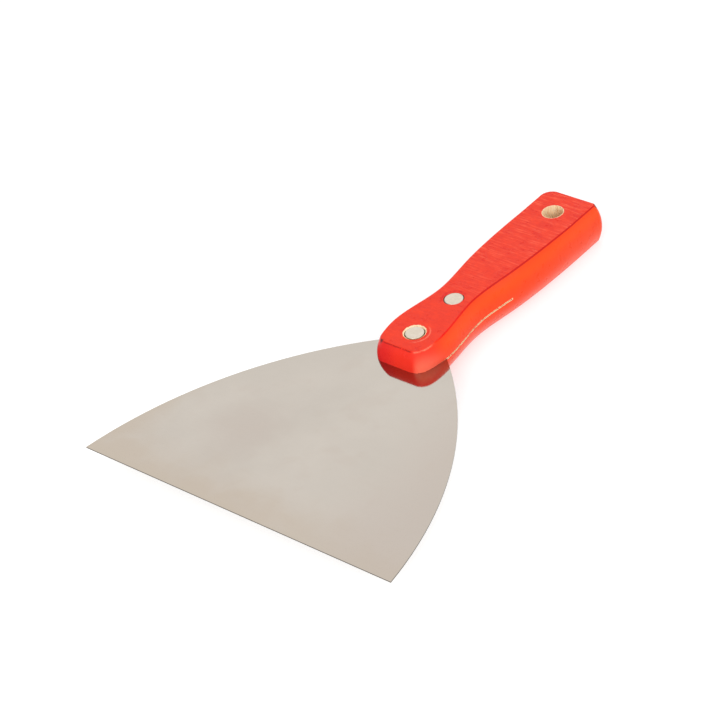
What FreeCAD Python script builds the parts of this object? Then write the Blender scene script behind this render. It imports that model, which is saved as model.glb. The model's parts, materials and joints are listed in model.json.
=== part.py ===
import FreeCAD, Part
import math
import os

os.makedirs("parts", exist_ok=True)

# A flexible putty knife: a wide sheet of spring steel in the saw kerf of a one-piece wooden
# handle, held by two two-piece cutlery rivets. Millimetres. X runs across the knife, +Y from the
# cutting edge to the handle's butt, +Z up. The origin is under the middle of the knife, on the
# plane of the handle's flat underside. Stations are distances back from the cutting edge.

# Blade
blade_width = 150.0
blade_thickness = 0.5
blade_side_radius = 170.0
blade_side_lead = 23.2          # the side arcs' centres lie this far in front of the cutting edge
tang_half_width = 7.5
tang_end = 144.0
tang_shoulder_fillet = 6.0
tang_corner_radius = 3.0

# Handle
handle_front = 95.2
handle_length = 116.1
handle_thickness = 17.6
crease_radius = 0.35
overall_length = handle_front + handle_length

# The handle's outline on its upper face, at the blade's height, where its barrel-shaped sides
# are widest, and on its underside. It is shaped by hand, so its two sides differ a little.
# Each side lists its front corner, shoulder, swell, waist, palm and butt, as (distance from the
# knife's centre line, distance behind the handle's front end).
upper_level = {
    "left": [(6.3, 2.3), (10.4, 5.5), (11.8, 15.0), (8.6, 38.2), (10.6, 59.4), (11.5, 96.0)],
    "right": [(5.7, 2.3), (10.4, 5.5), (11.2, 10.5), (7.6, 39.4), (9.4, 59.4), (12.1, 96.0)],
    "rear": 113.7,
    "left_corner": 5.0,
    "right_corner": 1.0,
}
blade_level = {
    "left": [(7.1, 0.0), (12.0, 3.3), (14.4, 14.0), (11.8, 38.0), (13.7, 58.7), (13.9, 96.0)],
    "right": [(6.6, 0.0), (11.6, 3.3), (13.6, 13.5), (10.8, 38.0), (13.1, 58.7), (14.2, 96.0)],
    "rear": handle_length,
    "left_corner": 5.0,
    "right_corner": 3.5,
}
under_level = {
    "left": [(6.3, 2.3), (9.4, 5.0), (10.2, 12.0), (7.9, 38.0), (10.3, 59.4), (11.6, 96.0)],
    "right": [(5.6, 2.3), (8.7, 5.0), (9.5, 12.0), (7.2, 38.0), (9.7, 59.4), (11.9, 96.0)],
    "rear": 113.9,
    "left_corner": 5.0,
    "right_corner": 1.0,
}

# Saw kerf that takes the blade: a circular saw fed in from the front leaves a round end. The
# blade lies against the kerf's upper face, and the rest of the kerf is open below it.
kerf_width = 0.6
kerf_end = 152.5
saw_radius = 75.0

# Rivets: a headed pin pressed into a headed socket, with both heads flush with the wood
rivet_places = {                # across the knife, and behind the cutting edge
    "front_rivet": (0.5, 107.5),
    "rear_rivet": (0.5, 131.8),
}
head_radius = 3.75
head_thickness = 1.2
head_edge_round = 0.15
socket_radius = 2.3
socket_gap = 0.6                # between the socket's end and the pin's head
pin_radius = 1.55
pin_tip_gap = 0.6               # between the pin's tip and the socket's floor
counterbore_radius = 3.87
wood_bore_radius = 2.35
blade_bore_radius = 2.45
bare_ring_radius = 4.5          # chamfer round the front rivet's upper head
bare_ring_depth = 0.5

# Hanging hole
hang_hole_place = (0.0, 196.7)
hang_hole_radius = 4.3

blade_height = handle_thickness / 2
clear = 1.0                     # how far cutting tools reach past the faces that they open


def at(x, station, z):
    """A point from its distance behind the cutting edge."""
    return FreeCAD.Vector(x, station - overall_length / 2, z)


def on_handle(side, place, z):
    """A point of the handle's outline, on its left (-1) or right (1) side."""
    from_centre, behind_front = place
    return at(side * from_centre, handle_front + behind_front, z)


def disc(radius, place, low, high):
    """An upright cylinder at a place across the knife and behind the cutting edge."""
    return Part.makeCylinder(radius, high - low, at(*place, low))


def side_offset():
    """How far the side arcs' centres lie beyond the knife's centre line."""
    return math.sqrt(blade_side_radius ** 2 - blade_side_lead ** 2) - blade_width / 2


def side_half_width(station):
    """Half the blade's width where the side arcs pass a station."""
    return math.sqrt(blade_side_radius ** 2 - (station + blade_side_lead) ** 2) - side_offset()


def shoulder_station():
    """Where the side arcs meet the straight sides of the tang."""
    reach = tang_half_width + side_offset()
    return math.sqrt(blade_side_radius ** 2 - reach ** 2) - blade_side_lead


def upright_edges(plate, station, half_width):
    """The vertical edges of a plate at a station, left and right."""
    found = []
    for edge in plate.Edges:
        middle = edge.CenterOfMass
        on_station = abs(middle.y - at(0, station, 0).y) < 0.01
        on_side = abs(abs(middle.x) - half_width) < 0.01
        if on_station and on_side:
            found.append(edge)
    return found


def blade_outline(z):
    """Straight cutting edge, two arcs that close in on the handle, and a straight tang."""
    tip = blade_width / 2
    shoulder = shoulder_station()
    halfway = shoulder / 2
    bow = side_half_width(halfway)
    tang = tang_half_width
    right_arc = Part.Arc(at(tip, 0, z), at(bow, halfway, z), at(tang, shoulder, z))
    left_arc = Part.Arc(at(-tang, shoulder, z), at(-bow, halfway, z), at(-tip, 0, z))
    return Part.Wire([
        Part.makeLine(at(-tip, 0, z), at(tip, 0, z)),
        right_arc.toShape(),
        Part.makeLine(at(tang, shoulder, z), at(tang, tang_end, z)),
        Part.makeLine(at(tang, tang_end, z), at(-tang, tang_end, z)),
        Part.makeLine(at(-tang, tang_end, z), at(-tang, shoulder, z)),
        left_arc.toShape(),
    ])


def blade():
    """The visible blade and its hidden tang, stamped from one sheet."""
    low = blade_height - blade_thickness / 2
    high = low + blade_thickness
    plate = Part.Face(blade_outline(low)).extrude(FreeCAD.Vector(0, 0, blade_thickness))
    shoulders = upright_edges(plate, shoulder_station(), tang_half_width)
    plate = plate.makeFillet(tang_shoulder_fillet, shoulders)
    tang_corners = upright_edges(plate, tang_end, tang_half_width)
    plate = plate.makeFillet(tang_corner_radius, tang_corners)
    for place in rivet_places.values():
        plate = plate.cut(disc(blade_bore_radius, place, low - clear, high + clear))
    return plate


def front_corner(places, side, z):
    """The arc from the handle's straight front to its shoulder, and its heading there."""
    start_width, start_depth = places[0]
    end_width, end_depth = places[1]
    across = end_width - start_width
    back = end_depth - start_depth
    radius = (across ** 2 + back ** 2) / (2 * back)
    turn = math.asin(across / radius)
    middle = (start_width + radius * math.sin(turn / 2),
              start_depth + radius * (1 - math.cos(turn / 2)))
    arc = Part.Arc(on_handle(side, places[0], z), on_handle(side, middle, z),
                   on_handle(side, places[1], z))
    heading = FreeCAD.Vector(side * math.cos(turn), math.sin(turn), 0)
    return arc, heading


def side_curve(places, side, z, end, heading):
    """The smooth side: shoulder, swell round the rivets, waist, palm and butt."""
    stops = places[1:] + [(places[-1][0], end)]
    curve = Part.BSplineCurve()
    curve.interpolate(Points=[on_handle(side, place, z) for place in stops],
                      InitialTangent=heading, FinalTangent=FreeCAD.Vector(0, 1, 0))
    return curve


def butt_corner(width, rear, side, z, radius):
    """The rounded corner between a side and the butt."""
    inset = radius * (1 - math.sqrt(0.5))
    return Part.Arc(on_handle(side, (width, rear - radius), z),
                    on_handle(side, (width - inset, rear - inset), z),
                    on_handle(side, (width - radius, rear), z))


def outline(level, z):
    """The handle's closed outline at one height."""
    rear = level["rear"]
    fronts = []
    rears = []
    edges = []
    for side, name in ((-1, "left"), (1, "right")):
        places = level[name]
        radius = level[name + "_corner"]
        width = places[-1][0]
        arc, heading = front_corner(places, side, z)
        curve = side_curve(places, side, z, rear - radius, heading)
        corner = butt_corner(width, rear, side, z, radius)
        edges.append([arc.toShape(), curve.toShape(), corner.toShape()])
        fronts.append(on_handle(side, places[0], z))
        rears.append(on_handle(side, (width - radius, rear), z))
    left, right = edges
    return Part.Wire([Part.makeLine(*fronts)] + right + [Part.makeLine(rears[1], rears[0])]
                     + left[::-1])


def handle_blank():
    """The shaped wood: flat above and below, barrel-shaped all round, with softened creases."""
    sections = [outline(under_level, 0.0), outline(blade_level, blade_height),
                outline(upper_level, handle_thickness)]
    blank = Part.makeLoft(sections, True, False)
    creases = []
    for edge in blank.Edges:
        box = edge.BoundBox
        if box.ZMin > handle_thickness - 0.01 or box.ZMax < 0.01:
            creases.append(edge)
    return blank.makeFillet(crease_radius, creases)


def rivet_holes(place):
    """The stepped hole for one rivet: a bore, with a counterbore for the head at each face."""
    top = handle_thickness
    holes = disc(wood_bore_radius, place, -clear, top + clear)
    holes = holes.fuse(disc(counterbore_radius, place, -clear, head_thickness))
    return holes.fuse(disc(counterbore_radius, place, top - head_thickness, top + clear))


def bare_ring():
    """The chamfer round the front rivet's upper head, as the cone that cuts it."""
    seat = at(*rivet_places["front_rivet"], handle_thickness - bare_ring_depth)
    return Part.makeCone(counterbore_radius, bare_ring_radius, bare_ring_depth, seat)


def handle():
    """The finished handle, with its kerf, rivet holes and hanging hole."""
    blade_top = blade_height + blade_thickness / 2
    kerf = disc(saw_radius, (0, kerf_end - saw_radius), blade_top - kerf_width, blade_top)
    wood = handle_blank().cut(kerf)
    for place in rivet_places.values():
        wood = wood.cut(rivet_holes(place))
    wood = wood.cut(bare_ring())
    return wood.cut(disc(hang_hole_radius, hang_hole_place, -clear, handle_thickness + clear))


def rivet_head(place, low, outer_z):
    """A flat head with a slightly rounded rim on its outer side."""
    head = disc(head_radius, place, low, low + head_thickness)
    rim = []
    for edge in head.Edges:
        box = edge.BoundBox
        if box.ZLength < 0.01 and abs(box.ZMin - outer_z) < 0.01:
            rim.append(edge)
    return head.makeFillet(head_edge_round, rim)


def rivet_socket(place):
    """The upper half of a rivet: a head with a tube below it."""
    head_low = handle_thickness - head_thickness
    tube_low = head_thickness + socket_gap
    head = rivet_head(place, head_low, handle_thickness)
    socket = head.fuse(disc(socket_radius, place, tube_low, head_low))
    return socket.cut(disc(pin_radius, place, tube_low - clear, head_low - pin_tip_gap))


def rivet_pin(place):
    """The lower half of a rivet: a head with the pin that is pressed into the socket."""
    pin_high = handle_thickness - head_thickness - 2 * pin_tip_gap
    return rivet_head(place, 0.0, 0.0).fuse(disc(pin_radius, place, head_thickness, pin_high))


def write(name, shape):
    """One STEP file for one piece, which has to be a single valid solid."""
    solid = shape.removeSplitter()
    if not solid.isValid() or len(solid.Solids) != 1:
        raise ValueError(name + " is not one valid solid")
    solid.exportStep("parts/" + name + ".step")
    print(name, round(solid.Volume, 1), "cubic millimetres")


write("handle", handle())
write("blade", blade())
for rivet, place in rivet_places.items():
    write(rivet + "_socket", rivet_socket(place))
    write(rivet + "_pin", rivet_pin(place))
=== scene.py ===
import json
import math

import bmesh
import bpy
from mathutils import Matrix, Vector


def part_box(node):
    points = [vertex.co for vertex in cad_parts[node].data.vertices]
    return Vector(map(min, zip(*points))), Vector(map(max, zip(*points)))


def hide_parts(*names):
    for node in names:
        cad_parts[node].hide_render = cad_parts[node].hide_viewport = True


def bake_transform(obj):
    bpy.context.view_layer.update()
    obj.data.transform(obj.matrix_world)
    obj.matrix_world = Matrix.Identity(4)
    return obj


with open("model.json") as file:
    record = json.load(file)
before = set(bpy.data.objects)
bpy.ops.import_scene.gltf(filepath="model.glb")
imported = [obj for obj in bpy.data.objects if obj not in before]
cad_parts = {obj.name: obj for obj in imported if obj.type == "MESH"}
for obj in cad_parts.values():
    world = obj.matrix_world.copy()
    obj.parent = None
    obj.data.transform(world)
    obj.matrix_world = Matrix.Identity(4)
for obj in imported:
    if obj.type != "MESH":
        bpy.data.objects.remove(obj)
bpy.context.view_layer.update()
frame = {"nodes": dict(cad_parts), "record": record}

MM = 0.001
nodes = frame["nodes"]


def middle(node):
    """The middle of a CAD node's box, in millimetres."""
    low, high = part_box(node)
    return (low + high) / 2 / MM


# Places that the looks refer to, in millimetres in the row frame: x is across the knife, y runs
# from the cutting edge to the butt, and z is up. The handle's front end is near y = -10 and its
# butt near 106.
HANDLE_LOW, HANDLE_HIGH = [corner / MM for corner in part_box("handle")]
BLADE_LOW, BLADE_HIGH = [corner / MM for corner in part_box("blade")]
EDGE = BLADE_LOW.y
FRONT = HANDLE_LOW.y
TOP = HANDLE_HIGH.z
SHEET = (BLADE_LOW.z + BLADE_HIGH.z) / 2
HALF_SHEET = (BLADE_HIGH.z - BLADE_LOW.z) / 2

FRONT_RIVET = middle("front_rivet_socket")
REAR_RIVET = middle("rear_rivet_socket")
HEAD_RADIUS = 3.75
BARE_RING_RADIUS = 4.5          # the chamfer round the front rivet's upper head

HANG_HOLE = next(mount for mount in frame["record"]["mounts"] if mount["name"] == "hang_hole")
HOLE = Vector(HANG_HOLE["pos_m"]) / MM
HOLE_RADIUS = HANG_HOLE["dims"]["r_mm"]

# The kerf: a circular saw's cut from the front, with the sheet against its upper face
KERF_HEIGHT = 0.6
KERF_MIDDLE = BLADE_HIGH.z - KERF_HEIGHT / 2
KERF_END = EDGE + 152.5
SAW_RADIUS = 75.0
SAW_CENTRE = Vector((0.0, KERF_END - SAW_RADIUS))


def rgb(red, green, blue):
    """A display colour, 0 to 255, as a shader colour."""
    def linear(value):
        value /= 255
        return value / 12.92 if value <= 0.04045 else ((value + 0.055) / 1.055) ** 2.4
    return (linear(red), linear(green), linear(blue), 1.0)


# ------------------------------------------------------------------ shader building

class Shader:
    """A material under construction, with short calls for the nodes it needs."""

    def __init__(self, name):
        self.material = bpy.data.materials.new(name)
        self.material.use_nodes = True
        self.tree = self.material.node_tree
        self.tree.nodes.clear()

    def add(self, kind, inputs, output=0, **settings):
        """Adds a node with its inputs and settings, and returns one of its outputs."""
        node = self.tree.nodes.new("ShaderNode" + kind)
        for key, value in settings.items():
            setattr(node, key, value)
        for key, value in inputs.items():
            self.feed(node.inputs[key], value)
        return node.outputs[output] if node.outputs else None

    def feed(self, socket, value):
        """Links another node's output to a socket, or sets the socket to a constant."""
        if isinstance(value, bpy.types.NodeSocket):
            self.tree.links.new(value, socket)
        else:
            socket.default_value = value

    def calc(self, operation, a, b=0.0):
        return self.add("Math", {0: a, 1: b}, operation=operation)

    def plus(self, a, b):
        return self.calc("ADD", a, b)

    def minus(self, a, b):
        return self.calc("SUBTRACT", a, b)

    def times(self, *factors):
        total = factors[0]
        for factor in factors[1:]:
            total = self.calc("MULTIPLY", total, factor)
        return total

    def most(self, a, b):
        return self.calc("MAXIMUM", a, b)

    def off(self, value, centre):
        """How far a value is from a centre, either way."""
        return self.calc("ABSOLUTE", self.minus(value, centre))

    def swing(self, noise, amount):
        """A noise centred on 0 and scaled, so that it strays by half the amount at most."""
        return self.times(self.minus(noise, 0.5), amount)

    def rise(self, value, low, high):
        """0 below low, 1 above high, smooth between; falls instead if low is above high."""
        return self.add("MapRange", {0: value, 1: low, 2: high}, interpolation_type="SMOOTHSTEP")

    def band(self, value, centre, half_width):
        """1 at the centre, falling to 0 half_width either side."""
        return self.rise(self.off(value, centre), half_width, 0.0)

    def mix(self, factor, a, b):
        return self.add("Mix", {0: factor, 6: a, 7: b}, 2, data_type="RGBA")

    def scaled(self, vector, x, y, z):
        return self.add("VectorMath", {0: vector, 1: (x, y, z)}, operation="MULTIPLY")

    def split(self, vector):
        """The x, y and z of a vector."""
        node = self.tree.nodes.new("ShaderNodeSeparateXYZ")
        self.feed(node.inputs[0], vector)
        return node.outputs

    def millimetres(self, metres):
        return self.scaled(metres, 1 / MM, 1 / MM, 1 / MM)

    def place(self):
        """The object's own coordinates, in millimetres."""
        return self.millimetres(self.add("TexCoord", {}, "Object"))

    def noise(self, vector, scale=1.0, detail=2.0, roughness=0.5, distortion=0.0):
        return self.add("TexNoise", {"Vector": vector, "Scale": scale, "Detail": detail,
                                     "Roughness": roughness, "Distortion": distortion})

    def distance(self, x, y, point):
        """How far (x, y) is from a point, across the flat faces."""
        flat = self.add("CombineXYZ", {0: x, 1: y})
        return self.add("VectorMath", {0: flat, 1: (point.x, point.y, 0)}, "Value",
                        operation="DISTANCE")

    def arc(self, x, y, centre, radius, half_width, towards, spread):
        """The soft stretch of a ring that lies within spread degrees of a heading. Heading 0 is
        +X and 90 is +Y."""
        away = self.distance(x, y, centre)
        ring = self.band(away, radius, half_width)
        heading = math.radians(towards)
        along = self.plus(self.times(self.minus(x, centre.x), math.cos(heading)),
                          self.times(self.minus(y, centre.y), math.sin(heading)))
        share = self.calc("DIVIDE", along, away)
        return self.times(ring, self.rise(share, math.cos(math.radians(spread)),
                                          math.cos(math.radians(spread * 0.6))))

    def bump(self, height, distance, strength):
        return self.add("Bump", {"Height": height, "Distance": distance, "Strength": strength})

    def finish(self, clear=None, **inputs):
        """A principled surface, see-through where clear is 1."""
        surface = self.add("BsdfPrincipled", {key.replace("_", " "): value
                                              for key, value in inputs.items()})
        if clear is not None:
            surface = self.add("MixShader", {0: clear, 1: surface,
                                             2: self.add("BsdfTransparent", {})})
        self.add("OutputMaterial", {"Surface": surface})
        return self.material


def paint(node, material):
    """Gives a CAD node its finished material."""
    for slot in nodes[node].material_slots:
        slot.material = material


# ------------------------------------------------------------------ the handle's wood

class Wood(Shader):
    """The handle's material, with the places, directions and noises that its looks share."""

    def __init__(self):
        super().__init__("lacquered_wood")
        self.mm = self.place()
        self.x, self.y, self.z = self.split(self.mm)
        self.normal = self.split(self.add("NewGeometry", {}, "Normal"))
        self.level = self.rise(self.calc("ABSOLUTE", self.normal[2]), 0.93, 0.99)
        self.side = self.minus(1.0, self.level)
        self.mottle = self.noise(self.mm, 0.22, detail=4.0, roughness=0.6)
        self.fine = self.noise(self.mm, 1.1, detail=3.0, roughness=0.6)
        self.streaks = self.noise(self.scaled(self.mm, 0.13, 1.25, 0.5), detail=3.0,
                                  roughness=0.65)
        self.grit = self.noise(self.mm, 3.2, roughness=0.7)
        self.ragged = self.minus(self.noise(self.mm, 1.6, roughness=0.6), 0.5)

    def facing(self, across, along):
        """How far the surface faces a level direction: 1 fully, and -1 away from it."""
        return self.plus(self.times(self.normal[0], across), self.times(self.normal[1], along))

    def from_point(self, point):
        return self.distance(self.x, self.y, point)

    def ring(self, centre, radius, half_width, towards, spread):
        """An arc round a rivet."""
        return self.arc(self.x, self.y, centre, radius, half_width, towards, spread)


def lacquer(s):
    """The red itself, mottled and streaked, yellower where it is thin and paler where worn on top.
    It also carries a painted highlight on the front's right corner and a painted reflection of the
    floor low on the sides.
    """
    tone = s.plus(s.swing(s.mottle, 0.6), 0.5)
    streaky = s.plus(s.times(s.rise(s.y, 20.0, 95.0), 0.35), 0.35)
    tone = s.plus(tone, s.swing(s.streaks, streaky))
    tone = s.plus(tone, s.swing(s.fine, 0.4))
    red = s.mix(s.rise(tone, 0.1, 0.9), rgb(211, 26, 4), rgb(238, 58, 16))
    red = s.mix(s.times(s.side, 0.5), red, rgb(236, 78, 26))

    upper = s.band(s.plus(s.z, s.swing(s.mottle, 3.0)), TOP - 3.2, 3.6)
    thin = s.times(upper, s.side, s.rise(s.x, 2.0, 8.0), s.rise(s.y, FRONT + 4.0, FRONT + 18.0))
    red = s.mix(s.times(thin, 0.85), red, rgb(240, 74, 20))
    front = s.times(s.rise(s.y, FRONT + 18.0, FRONT + 4.0), s.side)
    red = s.mix(s.times(front, 0.7), red, rgb(244, 38, 34))
    # A painted highlight on the front's right corner, where it faces the lights
    corner = s.times(s.rise(s.facing(0.8, -0.6), 0.72, 1.0), s.rise(s.z, TOP + 1.0, SHEET + 2.0),
                     s.rise(s.y, FRONT + 20.0, FRONT + 6.0), s.side)
    red = s.mix(s.times(corner, 0.65), red, rgb(255, 124, 96))
    worn = s.times(s.rise(s.streaks, 0.5, 0.72), s.rise(s.y, 10.0, 60.0), s.level)
    red = s.mix(s.times(worn, 0.45), red, rgb(248, 116, 84))
    # A painted reflection of the pale floor: the sides grow paler and pinker towards their
    # underside
    low = s.times(s.rise(s.z, SHEET - 1.0, 1.0), s.side)
    red = s.mix(s.times(low, 0.6), red, rgb(240, 98, 74))
    specks = s.times(s.rise(s.grit, 0.68, 0.78), 0.1)
    return s.mix(specks, red, rgb(186, 18, 12))


def darker_reds_and_front_shade(s, red):
    """Darker red along the side creases and round the rear rivet, and painted shade down the
    front's left.
    """
    # A darker red line just under the side creases, behind the front end
    crease = s.times(s.rise(s.z, TOP - 0.65, TOP - 0.35), s.side)
    crease_line_red = s.mix(s.rise(s.y, 10.0, 40.0), rgb(222, 8, 0), rgb(190, 14, 12))
    red = s.mix(s.times(crease, s.rise(s.y, -1.0, 6.0)), red, crease_line_red)

    smear = s.ring(REAR_RIVET, 4.9, 1.0, towards=139.0, spread=100.0)
    streak = s.times(s.band(s.y, REAR_RIVET.y - 2.6, 0.5), s.band(s.x, 5.6, 3.0))
    smear = s.times(s.most(smear, streak), s.level, s.rise(s.fine, 0.3, 0.55))
    red = s.mix(smear, red, rgb(204, 0, 0))

    # Painted shade: the front's left, turned away from the lights, is darkened to a deep crimson
    left = s.rise(s.plus(s.x, s.times(s.ragged, 6.0)), 1.0, -7.0)
    stain_and_shade = s.times(left, s.rise(s.y, FRONT + 10.0, FRONT), s.side)
    return s.mix(s.times(stain_and_shade, 0.5), red, rgb(204, 10, 34))


def crease_wear_and_highlight(s, red):
    """Wear along the front crease, dark on the left, and on the right rubbed pale in places with a
    painted highlight on the edge; and a dark stain at the front's left corner and at the butt's
    right corner."""
    rim = s.times(s.band(s.z, TOP - 0.25, 0.5), s.side)
    left_wear = s.times(rim, s.rise(s.y, -3.5, -5.5), s.rise(s.x, 7.4, 6.4))
    red = s.mix(s.times(left_wear, s.rise(s.fine, 0.34, 0.54), 0.7), red, rgb(124, 14, 8))
    # On the right, rubbed pale in places, with a painted highlight along the edge
    right_wear_and_highlight = s.times(rim, s.rise(s.y, 1.0, -3.0), s.rise(s.x, 7.0, 8.2))
    red = s.mix(s.times(right_wear_and_highlight, s.rise(s.fine, 0.36, 0.56), 0.7), red, rgb(255, 140, 110))
    for corner in (Vector((-7.9, -7.7)), Vector((12.3, 103.1))):
        near = s.plus(s.from_point(corner), s.times(s.ragged, 1.6))
        stain_and_shade = s.times(s.rise(near, 0.9, 0.4), s.rise(s.z, TOP - 2.0, TOP - 1.2))
        red = s.mix(s.times(stain_and_shade, 0.85), red, rgb(78, 34, 30))
    return red


def bare_places(s, in_kerf):
    """Where the lacquer is cut away: the hanging hole, the chamfer round the front rivet, and
    the kerf behind its front end."""
    from_hole = s.plus(s.from_point(HOLE), s.times(s.ragged, 0.5))
    hole = s.rise(from_hole, HOLE_RADIUS + 0.3, HOLE_RADIUS + 0.1)
    ring_middle = Vector((FRONT_RIVET.x - 0.12, FRONT_RIVET.y + 0.2))
    from_rivet = s.plus(s.from_point(ring_middle), s.times(s.ragged, 1.0))
    chamfer = s.times(s.rise(from_rivet, BARE_RING_RADIUS + 0.2, BARE_RING_RADIUS),
                      s.rise(s.z, TOP - 1.6, TOP - 0.9))
    return s.most(s.most(hole, chamfer), in_kerf)


def raw_wood(s, fibres, in_kerf):
    """Pale cut wood with pores. Deep in the hanging hole, and on its wall that faces front left,
    painted shade makes the wood browner and the pores show most."""
    wood = s.mix(s.rise(fibres, 0.42, 0.68), rgb(255, 232, 194), rgb(242, 196, 146))
    pores = s.noise(s.scaled(s.mm, 3.6, 3.6, 0.9), roughness=0.6)
    deep = s.rise(s.z, TOP - 1.5, TOP - 6.0)
    shaded = s.rise(s.plus(s.facing(-0.76, -0.63), s.times(deep, 0.4)), -0.1, 0.9)
    speckled = s.plus(s.times(deep, 0.4), s.times(shaded, 0.5))
    wood = s.mix(s.times(s.rise(pores, 0.5, 0.62), s.plus(speckled, 0.1),
                         s.minus(1.0, in_kerf)), wood, rgb(120, 66, 34))
    shaded = s.times(shaded, s.rise(s.z, TOP - 0.6, TOP - 2.4), s.side, s.minus(1.0, in_kerf))
    return s.mix(s.times(shaded, 0.45), wood, rgb(176, 118, 72))


def rivet_gap_shade(s, colour):
    """Painted shade in the thin gaps beside the rivet heads, in stretches given by heading and
    spread.
    """
    for centre, towards, spread, flecked in (
            (REAR_RIVET, 228, 55, False), (REAR_RIVET, 40, 28, False),
            (FRONT_RIVET, 215, 34, False), (FRONT_RIVET, 44, 34, False),
            (FRONT_RIVET, 120, 60, True)):
        gap = s.ring(centre, HEAD_RADIUS + 0.22, 0.26, towards, spread)
        if flecked:
            gap = s.times(gap, s.rise(s.grit, 0.5, 0.6))
        colour = s.mix(gap, colour, rgb(26, 12, 6))
    return colour


def lacquered_wood():
    """Red lacquer over hardwood: grain and stains in the red, wear along the creases, painted shade
    and highlights, and raw wood wherever a saw or a drill went through after the lacquer."""
    s = Wood()
    red = darker_reds_and_front_shade(s, lacquer(s))

    # A round scuff beside the front rivet, with a groove inside it
    scuff = s.times(s.ring(FRONT_RIVET, 6.1, 0.5, towards=0.0, spread=75.0), s.level,
                    s.rise(s.fine, 0.3, 0.5))
    red = s.mix(s.times(scuff, 0.4), red, rgb(255, 160, 130))
    groove = s.times(s.ring(FRONT_RIVET, 5.4, 0.3, towards=0.0, spread=80.0), s.level)
    red = s.mix(s.times(groove, 0.4), red, rgb(196, 34, 24))
    red = crease_wear_and_highlight(s, red)

    # The kerf's line has chipped edges. At its front end it is painted dark red, as the shade of a
    # tight gap, and it is bare behind that.
    chips = s.plus(s.off(s.z, KERF_MIDDLE), s.swing(s.fine, 0.6))
    in_kerf = s.rise(s.from_point(SAW_CENTRE), SAW_RADIUS + 0.5, SAW_RADIUS)
    in_kerf = s.times(s.rise(chips, 0.42, 0.32), in_kerf)
    red = s.mix(s.times(in_kerf, s.rise(s.y, 3.0, -1.0)), red, rgb(150, 22, 12))
    in_kerf = s.times(in_kerf, s.rise(s.y, -2.0, 5.0))

    bare = bare_places(s, in_kerf)
    fibres = s.noise(s.scaled(s.mm, 2.2, 2.2, 0.35), detail=3.0, roughness=0.7)
    colour = rivet_gap_shade(s, s.mix(bare, red, raw_wood(s, fibres, in_kerf)))

    relief = s.plus(s.times(s.streaks, 0.5), s.times(s.fine, 0.3))
    relief = s.plus(relief, s.times(s.grit, 0.2))
    relief = s.plus(relief, s.times(fibres, bare, 1.5))
    relief = s.minus(relief, s.times(groove, 0.8))
    gloss = s.plus(0.3, s.swing(s.mottle, 0.25))
    gloss = s.plus(gloss, s.times(s.rise(scuff, 0.0, 1.0), 0.15))
    return s.finish(
        Base_Color=colour,
        Roughness=s.plus(s.times(gloss, s.minus(1.0, bare)), s.times(bare, 0.85)),
        Specular_IOR_Level=0.12,
        Coat_Weight=s.times(s.minus(1.0, bare), 0.07),
        Coat_Roughness=0.12,
        Normal=s.bump(relief, 0.00018, 0.5),
    )


# ------------------------------------------------------------------ the metals

def spring_steel():
    """Fine-ground, polished sheet steel: near-mirror, with grinding lines and dull clouds."""
    s = Shader("spring_steel")
    mm = s.millimetres(s.add("Attribute", {}, "Vector", attribute_name="rest"))
    x, y, z = s.split(mm)
    clouds = s.noise(mm, 0.028, detail=3.0, roughness=0.55, distortion=0.2)
    smudges = s.noise(mm, 0.09, distortion=0.3)
    lines = s.noise(s.scaled(mm, 0.05, 4.5, 1.0), detail=3.0, roughness=0.7)
    grain = s.noise(mm, 2.4, roughness=0.6)

    # Warmer along the cutting edge and at its left end, and duller on the right and in two spots
    wander = s.swing(clouds, 40.0)
    warm = s.rise(s.plus(y, s.swing(smudges, 24.0)), -82.0, EDGE)
    warm = s.times(warm, s.minus(1.0, s.times(s.rise(x, 0.0, 60.0), 0.5)))
    warm = s.most(warm, s.rise(s.plus(x, wander), -56.0, -76.0))
    dull = s.rise(s.plus(x, wander), 20.0, 66.0)
    for spot, reach in ((Vector((-30.0, -67.5)), 22.0), (Vector((56.0, -78.0)), 20.0)):
        cloud = s.rise(s.plus(s.distance(x, y, spot), wander), reach, 0.0)
        dull = s.most(dull, s.times(cloud, 0.7))
    steel = s.mix(s.rise(clouds, 0.25, 0.75), rgb(171, 164, 155), rgb(176, 169, 160))
    steel = s.mix(s.times(dull, 0.7), steel, rgb(167, 157, 148))
    steel = s.mix(s.times(warm, 0.65), steel, rgb(167, 154, 139))
    steel = s.mix(s.times(s.rise(smudges, 0.5, 0.75), 0.3), steel, rgb(170, 160, 150))
    steel = s.mix(s.swing(lines, 0.25), steel, rgb(192, 187, 180))

    # The sheared edge is darker and rougher than the ground faces
    rim = s.minus(1.0, s.rise(s.off(z, SHEET), HALF_SHEET - 0.05, HALF_SHEET - 0.005))
    steel = s.mix(s.times(rim, 0.8), steel, rgb(58, 52, 46))
    roughness = s.plus(0.055, s.swing(clouds, 0.04))
    roughness = s.plus(roughness, s.swing(smudges, 0.03))
    return s.finish(
        Base_Color=steel,
        Metallic=1.0,
        Roughness=s.plus(roughness, s.times(rim, 0.25)),
        Normal=s.bump(s.plus(s.times(lines, 0.6), s.times(grain, 0.25)), 0.00001, 0.35),
    )


def rivet_metal():
    """Pale soft metal, filed flush: fine scratches both ways over faint blotches."""
    s = Shader("rivet_metal")
    mm = s.place()
    scratches = s.noise(s.scaled(mm, 0.5, 7.0, 1.0), roughness=0.6)
    crossed = s.noise(s.scaled(mm, 6.0, 0.9, 1.0), roughness=0.6)
    blotch = s.noise(mm, 0.6, detail=3.0, roughness=0.6)
    metal = s.mix(s.rise(blotch, 0.3, 0.7), rgb(194, 183, 167), rgb(208, 197, 182))
    marks = s.most(s.rise(scratches, 0.6, 0.72), s.rise(crossed, 0.62, 0.74))
    return s.finish(
        Base_Color=s.mix(s.times(marks, 0.35), metal, rgb(170, 160, 147)),
        Metallic=1.0,
        Roughness=s.plus(0.36, s.swing(blotch, 0.2)),
        Normal=s.bump(s.plus(s.times(scratches, 0.5), s.times(crossed, 0.5)), 0.00004, 0.5),
    )


# ------------------------------------------------------------------ the blade

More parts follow.
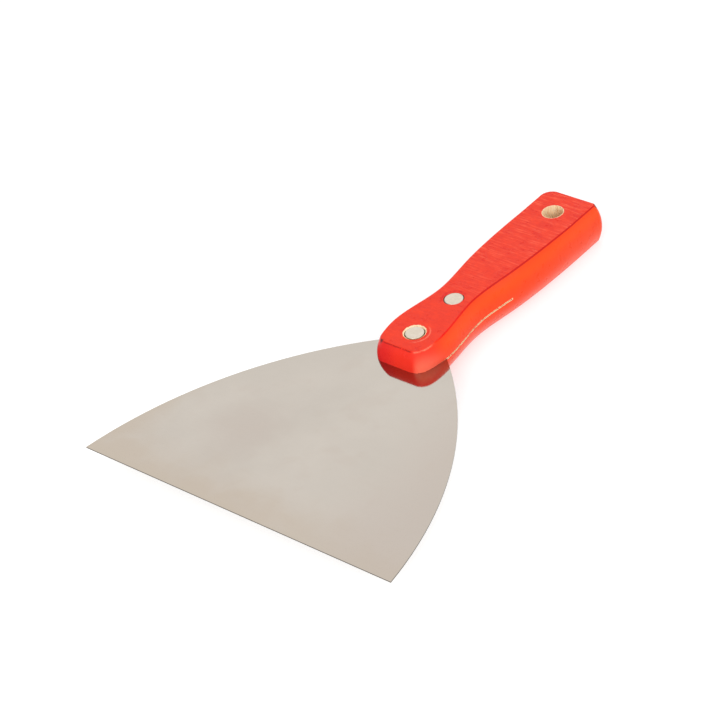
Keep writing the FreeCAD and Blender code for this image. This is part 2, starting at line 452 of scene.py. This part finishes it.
def bending_blade():
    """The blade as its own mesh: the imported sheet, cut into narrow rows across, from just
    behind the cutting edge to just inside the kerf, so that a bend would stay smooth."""
    row_depth = 1.5
    margin = 1.0
    hair = 1e-7
    mesh = nodes["blade"].data.copy()
    mesh.name = "spring_steel_blade"
    bm = bmesh.new()
    bm.from_mesh(mesh)
    bmesh.ops.remove_doubles(bm, verts=bm.verts, dist=hair)
    row = EDGE + margin
    while row < FRONT + margin:
        bmesh.ops.bisect_plane(bm, geom=bm.verts[:] + bm.edges[:] + bm.faces[:],
                               plane_co=(0, row * MM, 0), plane_no=(0, 1, 0), dist=hair)
        row += row_depth
    bm.to_mesh(mesh)
    bm.free()
    if mesh.has_custom_normals:
        mesh.attributes.remove(mesh.attributes["custom_normal"])

    # Where each vertex is before the blade bends, for the steel's pattern
    rest = mesh.attributes.new("rest", "FLOAT_VECTOR", "POINT")
    rest.data.foreach_set("vector", [value for vertex in mesh.vertices for value in vertex.co])
    mesh.shade_smooth()
    mesh.set_sharp_from_angle(angle=math.radians(30))
    mesh.materials.clear()
    mesh.materials.append(spring_steel())
    piece = bpy.data.objects.new("bending_blade", mesh)
    bpy.context.scene.collection.objects.link(piece)
    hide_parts("blade")
    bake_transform(piece)


# ------------------------------------------------------------------ studio

def floor():
    """A pale table that glows by itself, more under the blade, a painted light that keeps the
    knife's shadows faint, most of all the blade's.
    It is clear from below, and a hair under the knife, so that the knife's underside shows."""
    half_width = 4.0
    gap = 0.2 * MM
    s = Shader("pale_table")
    mm = s.place()
    tone = s.noise(mm, 0.004, detail=3.0)
    # Painted light: the table glows more under the blade, so the blade's shadow washes out
    under_blade = s.rise(s.split(mm)[1], 10.0, -30.0)
    material = s.finish(
        clear=s.add("NewGeometry", {}, "Backfacing"),
        Base_Color=s.mix(s.times(tone, 0.3), rgb(194, 194, 194), rgb(190, 190, 190)),
        Roughness=0.9,
        Specular_IOR_Level=0.1,
        Emission_Color=(1, 1, 1, 1),
        Emission_Strength=s.plus(0.49, s.times(under_blade, 0.16)),
    )
    bm = bmesh.new()
    bmesh.ops.create_grid(bm, x_segments=8, y_segments=8, size=half_width)
    mesh = bpy.data.meshes.new("table_top")
    bm.to_mesh(mesh)
    bm.free()
    mesh.materials.append(material)
    table = bpy.data.objects.new("table_top", mesh)
    table.location.z = -gap
    bpy.context.scene.collection.objects.link(table)


def softbox(name, azimuth, elevation, distance, size, power):
    """A square area light aimed at the knife. Azimuth 0 is in front of the cutting edge."""
    light = bpy.data.lights.new(name, "AREA")
    light.shape = "SQUARE"
    light.size = size
    light.energy = power
    lamp = bpy.data.objects.new(name, light)
    turn = math.radians(azimuth)
    tilt = math.radians(elevation)
    away = Vector((math.sin(turn) * math.cos(tilt), -math.cos(turn) * math.cos(tilt),
                   math.sin(tilt)))
    lamp.location = away * distance
    lamp.rotation_euler = away.to_track_quat("Z", "Y").to_euler()
    bpy.context.scene.collection.objects.link(lamp)


def surroundings():
    """A white studio: brighter beyond the butt, where the blade mirrors it, and with a dark
    screen high on the left that deepens the reds there."""
    even_strength = 0.95
    world = bpy.data.worlds.new("white_studio")
    world.use_nodes = True
    tree = world.node_tree
    heading = tree.nodes.new("ShaderNodeTexCoord").outputs["Generated"]
    strength = None
    # Each patch: its middle, the cosines of the angles at its rim and where it is full, and how
    # much it changes the strength
    for towards, rim, full, change in (((-0.58, 0.55, 0.60), 0.85, 0.955, 0.5),
                                       ((-0.75, -0.15, 0.62), 0.80, 0.97, -0.7)):
        dot = tree.nodes.new("ShaderNodeVectorMath")
        dot.operation = "DOT_PRODUCT"
        dot.inputs[1].default_value = Vector(towards).normalized()
        tree.links.new(heading, dot.inputs[0])
        patch = tree.nodes.new("ShaderNodeMapRange")
        patch.interpolation_type = "SMOOTHSTEP"
        for socket, value in zip(patch.inputs[1:5], (rim, full, 0.0, change)):
            socket.default_value = value
        tree.links.new(dot.outputs["Value"], patch.inputs[0])
        total = tree.nodes.new("ShaderNodeMath")
        total.inputs[0].default_value = even_strength
        if strength:
            tree.links.new(strength, total.inputs[0])
        tree.links.new(patch.outputs[0], total.inputs[1])
        strength = total.outputs[0]
    background = tree.nodes["Background"]
    background.inputs["Color"].default_value = (1, 1, 1, 1)
    tree.links.new(strength, background.inputs["Strength"])
    bpy.context.scene.world = world


def camera():
    """The photograph's view: from the right of the cutting edge, well above the knife."""
    data = bpy.data.cameras.new("camera")
    data.sensor_width = 36
    data.lens = 135.48
    data.clip_start = 0.01
    lens = bpy.data.objects.new("camera", data)
    place = Vector((0.59388, -0.58994, 0.63303))
    across = Vector((0.758914, 0.632331, -0.155583))
    upward = Vector((-0.292271, 0.54426, 0.786358))
    turn = Matrix((across, upward, across.cross(upward))).transposed()
    lens.matrix_world = Matrix.Translation(place) @ turn.to_4x4()
    bpy.context.scene.collection.objects.link(lens)
    bpy.context.scene.camera = lens


camera()
surroundings()
softbox("front_softbox", azimuth=18, elevation=38, distance=1.6, size=1.1, power=9.0)
softbox("right_softbox", azimuth=100, elevation=38, distance=1.6, size=1.2, power=5.0)
floor()
bpy.context.scene.view_settings.view_transform = "Standard"
paint("handle", lacquered_wood())
metal = rivet_metal()
for rivet in ("front_rivet", "rear_rivet"):
    paint(rivet + "_socket", metal)
    paint(rivet + "_pin", metal)
bending_blade()
